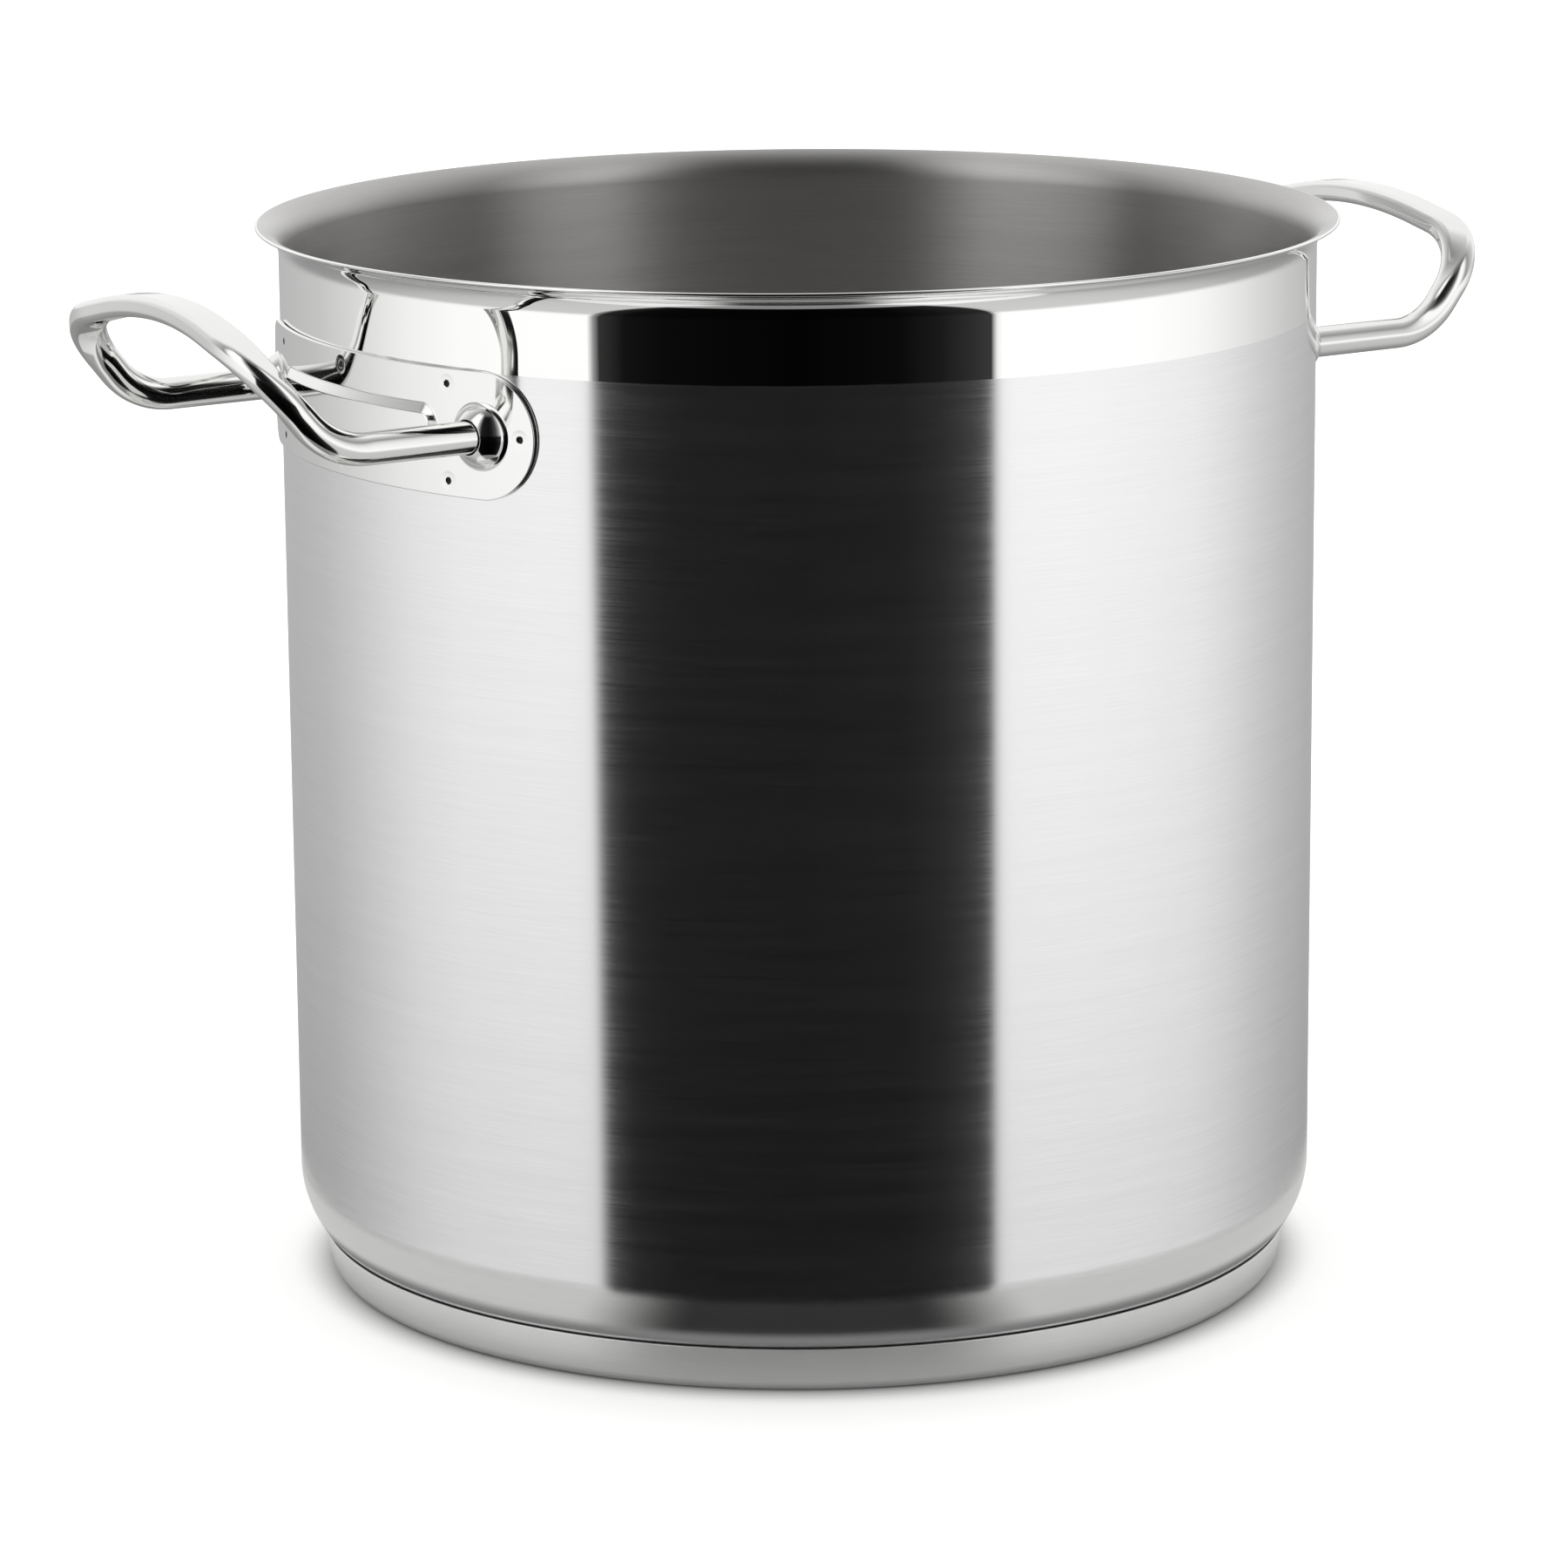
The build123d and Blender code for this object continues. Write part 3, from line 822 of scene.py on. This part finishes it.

# Close to the pot its rounded bottom mirrors the floor. This sheet shows only in the metal, with painted
# shade in its colour:
# dark in front of the pot, paler at the sides, and a mid grey ring right by the foot.
NEAR_FLOOR = 0.262
near, near_tree, near_shader = new_finish("near_floor_painted_shade")
near_shader.inputs["Roughness"].default_value = 0.9
near_shader.inputs["Specular IOR Level"].default_value = 0.0
near_place = add_node(near_tree, "ShaderNodeTexCoord", {})
near_reach = add_node(
    near_tree, "ShaderNodeVectorMath", {"operation": "LENGTH"}, [(0, near_place.outputs["Object"])],
)
near_fade = add_node(
    near_tree, "ShaderNodeMapRange",
    {"From Min": NEAR_FLOOR - 0.03, "From Max": NEAR_FLOOR, "To Min": 1.0, "To Max": 0.0},
    [("Value", near_reach.outputs["Value"])],
)
camera_turn = math.radians(CAMERA_AZIMUTH - 90)
toward_camera = (math.cos(camera_turn), math.sin(camera_turn), 0)
near_way = add_node(
    near_tree, "ShaderNodeVectorMath", {"operation": "NORMALIZE"}, [(0, near_place.outputs["Object"])],
)
near_front = add_node(
    near_tree, "ShaderNodeVectorMath", {"operation": "DOT_PRODUCT", 1: toward_camera},
    [(0, near_way.outputs["Vector"])],
)
# Painted shade: the sheet is coloured dark on the camera's side of the pot and paler at the sides.
near_painted_shade_mask = add_node(
    near_tree, "ShaderNodeMapRange",
    {"interpolation_type": "SMOOTHSTEP", "From Min": 0.97, "From Max": 0.86},
    [("Value", near_front.outputs["Value"])],
)
# Painted shade: a mid grey ring coloured in right by the foot.
near_painted_rim = add_node(
    near_tree, "ShaderNodeMapRange", {"From Min": 0.185, "From Max": 0.177},
    [("Value", near_reach.outputs["Value"])],
)
near_painted_shade = add_node(
    near_tree, "ShaderNodeMix", {"data_type": "RGBA", 6: linear("#2b2b2b"), 7: linear("#b4b4b3")},
    [(0, near_painted_shade_mask.outputs[0])],
)
# The sheet's colour is these painted shade tones.
near_painted_tone = add_node(
    near_tree, "ShaderNodeMix", {"data_type": "RGBA", 7: linear("#808080")},
    [(0, near_painted_rim.outputs[0]), (6, near_painted_shade.outputs[2])],
)
near_tree.links.new(near_painted_tone.outputs[2], near_shader.inputs["Base Color"])
near_tree.links.new(near_fade.outputs[0], near_shader.inputs["Alpha"])
near_floor = flat_sheet("floor_by_the_pot_painted_shade", NEAR_FLOOR + 0.1, 0.0, near)
near_floor.visible_camera = False
near_floor.visible_diffuse = False
near_floor.visible_shadow = False

# The light all round, in degrees round from the camera (left negative) with its brightness:
# tent walls low down, a white backdrop above them, and the floor further off.
TENT_LOW = [
    (-180, 0.40), (-150, 0.46), (-131, 0.52), (-117, 0.62), (-105, 0.73), (-94, 0.84), (-80, 0.92),
    (-60, 0.96), (-45.8, 0.96), (-44.7, 0.035), (-38, 0.006), (-30, 0.003), (0, 0.001), (22, 0.003),
    (31, 0.010), (38, 0.025), (42.7, 0.04), (43.8, 1.0), (62, 1.0), (80, 0.97), (97, 0.9), (110, 0.78),
    (121, 0.66), (136, 0.54), (160, 0.42), (180, 0.40),
]
TENT_HIGH = [
    (-180, 0.88), (-130, 0.88), (-112, 0.6), (-85, 0.3), (-76, 0.95), (-60, 1.1), (-46, 1.1),
    (-38, 0.5), (-30, 0.12), (-24, 0.01), (0, 0.004), (12, 0.012), (26, 0.06), (36, 0.3), (46, 1.0),
    (60, 1.0), (70, 0.7), (80, 0.3), (112, 0.6), (130, 0.88), (180, 0.88),
]
TENT_UNDER = [
    (-180, 0.5), (-90, 0.75), (-55, 0.8), (-40, 0.3), (-20, 0.22), (20, 0.22), (40, 0.35), (52, 0.9),
    (90, 0.85), (180, 0.5),
]
# In degrees up from level: how the tent's walls darken downwards.
FALL = [(-60, 0.55), (-22, 0.58), (-18, 0.66), (-16, 0.78), (-13, 0.92), (-9, 1.0), (60, 1.0)]
# In degrees over the top from the camera's side to the far side: softbox, gap, backdrop.
CEILING = [(0, 0.12), (80, 0.15), (100, 0.6), (180, 0.8)]
TENT_STRENGTH = 1.15
CARD_TOP, TOP_SOFT = 68.0, 8.0      # degrees up, and how softly it ends each way
CARD_FOOT, FOOT_SOFT = -62.0, 1.0
FLOOR_LIGHT = 1.5

bpy.context.scene.view_settings.view_transform = "Standard"
world = bpy.data.worlds.new("studio_light")
world.use_nodes = True
bpy.context.scene.world = world
sky = world.node_tree
sky.nodes.clear()


def angle_ramp(source, stops, low, high):
    """Brightness for an angle in radians, from stops in degrees between low and high."""
    share = add_node(
        sky, "ShaderNodeMapRange", {"From Min": math.radians(low), "From Max": math.radians(high)},
        [("Value", source)],
    )
    ramp = add_node(sky, "ShaderNodeValToRGB", {}, [(0, share.outputs[0])])
    marks = ramp.color_ramp.elements
    for n, (angle, bright) in enumerate(stops):
        spot = (angle - low) / (high - low)
        mark = marks[n] if n < 2 else marks.new(spot)
        mark.position = spot
        mark.color = (bright, bright, bright, 1)
    return ramp.outputs[0]


look = add_node(sky, "ShaderNodeTexCoord", {})
look_parts = add_node(sky, "ShaderNodeSeparateXYZ", {}, [(0, look.outputs["Generated"])])
compass = add_node(
    sky, "ShaderNodeMath", {"operation": "ARCTAN2"},
    [(0, look_parts.outputs["Y"]), (1, look_parts.outputs["X"])],
)
from_camera = add_node(
    sky, "ShaderNodeMath", {"operation": "SUBTRACT", 1: camera_turn}, [(0, compass.outputs[0])],
)
wrapped = add_node(
    sky, "ShaderNodeMath", {"operation": "WRAP", 1: math.pi, 2: -math.pi}, [(0, from_camera.outputs[0])],
)
height = add_node(sky, "ShaderNodeMath", {"operation": "ARCSINE"}, [(0, look_parts.outputs["Z"])])
front = add_node(
    sky, "ShaderNodeVectorMath", {"operation": "DOT_PRODUCT", 1: toward_camera},
    [(0, look.outputs["Generated"])],
)
over_top = add_node(
    sky, "ShaderNodeMath", {"operation": "ARCTAN2"},
    [(0, look_parts.outputs["Z"]), (1, front.outputs["Value"])],
)
turned_by, raised_by = wrapped.outputs[0], height.outputs[0]
low_walls = add_node(
    sky, "ShaderNodeMix", {"data_type": "RGBA", "blend_type": "MULTIPLY", 0: 1.0},
    [(6, angle_ramp(turned_by, TENT_LOW, -180, 180)), (7, angle_ramp(raised_by, FALL, -60, 60))],
)
wall_join = add_node(
    sky, "ShaderNodeMapRange",
    {"interpolation_type": "SMOOTHSTEP", "From Min": math.radians(-3), "From Max": math.radians(5)},
    [("Value", raised_by)],
)
walls = add_node(
    sky, "ShaderNodeMix", {"data_type": "RGBA"},
    [(0, wall_join.outputs[0]), (6, low_walls.outputs[2]),
     (7, angle_ramp(turned_by, TENT_HIGH, -180, 180))],
)
top_join = add_node(
    sky, "ShaderNodeMapRange",
    {"interpolation_type": "SMOOTHSTEP", "From Min": math.radians(CARD_TOP - TOP_SOFT),
     "From Max": math.radians(CARD_TOP + TOP_SOFT)},
    [("Value", raised_by)],
)
with_top = add_node(
    sky, "ShaderNodeMix", {"data_type": "RGBA"},
    [(0, top_join.outputs[0]), (6, walls.outputs[2]),
     (7, angle_ramp(over_top.outputs[0], CEILING, 0, 180))],
)
foot_join = add_node(
    sky, "ShaderNodeMapRange",
    {"interpolation_type": "SMOOTHSTEP", "From Min": math.radians(CARD_FOOT + FOOT_SOFT),
     "From Max": math.radians(CARD_FOOT - FOOT_SOFT)},
    [("Value", raised_by)],
)
whole = add_node(
    sky, "ShaderNodeMix", {"data_type": "RGBA"},
    [(0, foot_join.outputs[0]), (6, with_top.outputs[2]),
     (7, angle_ramp(turned_by, TENT_UNDER, -180, 180))],
)
mirrored = add_node(
    sky, "ShaderNodeBackground", {"Strength": TENT_STRENGTH}, [("Color", whole.outputs[2])],
)
plain = add_node(sky, "ShaderNodeBackground", {"Color": (1, 1, 1, 1), "Strength": FLOOR_LIGHT})
ray = add_node(sky, "ShaderNodeLightPath", {})
chosen = add_node(
    sky, "ShaderNodeMixShader", {},
    [(0, ray.outputs["Is Glossy Ray"]), (1, plain.outputs[0]), (2, mirrored.outputs[0])],
)
add_node(sky, "ShaderNodeOutputWorld", {}, [("Surface", chosen.outputs[0])])
